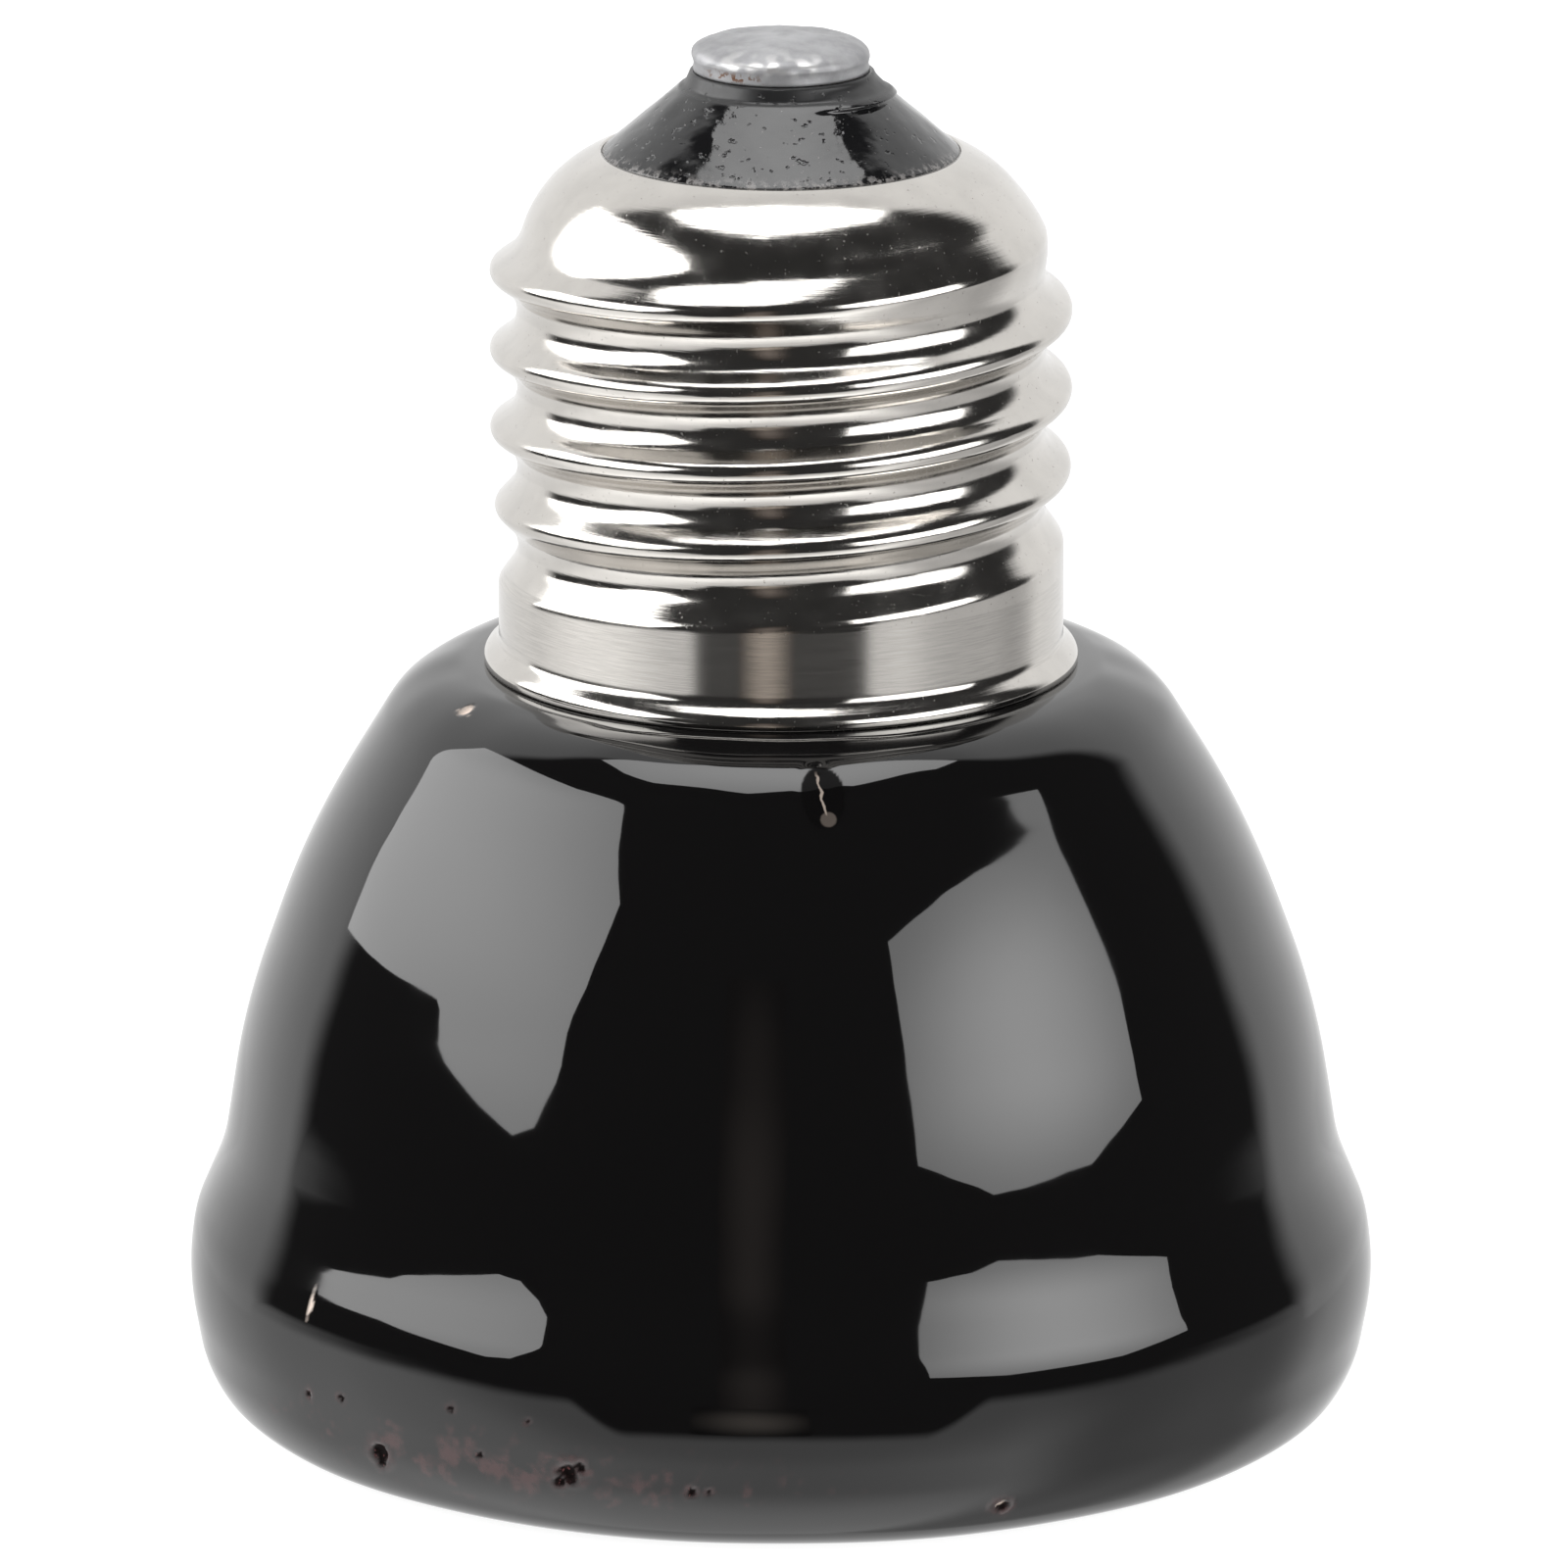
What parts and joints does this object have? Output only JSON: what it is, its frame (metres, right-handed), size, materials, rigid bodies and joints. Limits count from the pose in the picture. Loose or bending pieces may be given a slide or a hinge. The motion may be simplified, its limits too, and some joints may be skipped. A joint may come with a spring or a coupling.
{
  "type": "ceramic heat emitter",
  "caption": "Bell-shaped black glazed ceramic heat emitter with an Edison screw cap, which warms a terrarium or a coop from above and gives no light.",
  "frame": {"origin": "centre of the flat face, on which the part is stood in the picture", "axes": "+Z along the axis from the flat face to the centre contact"},
  "size_m": [0.0542, 0.0542, 0.0634],
  "materials": {
    "glaze": "gloss",
    "nickel": "polished",
    "black_glass": "gloss",
    "plated_brass": "satin",
    "solder": "matte",
    "cement": "matte",
    "heating_wire": "matte",
    "lead_wire": "satin",
    "fibre_sleeve": "matte"
  },
  "bodies": {
    "root": {"ceramic_body": "glaze", "screw_shell": "nickel", "glass_insulator": "black_glass", "contact_eyelet": "plated_brass", "contact_solder": "solder", "basing_cement": "cement", "heating_coil": "heating_wire", "centre_lead": "lead_wire", "shell_lead": "lead_wire", "centre_sleeve": "fibre_sleeve", "shell_sleeve": "fibre_sleeve", "centre_ferrule": "plated_brass", "shell_ferrule": "plated_brass"}
  },
  "joints": []
}
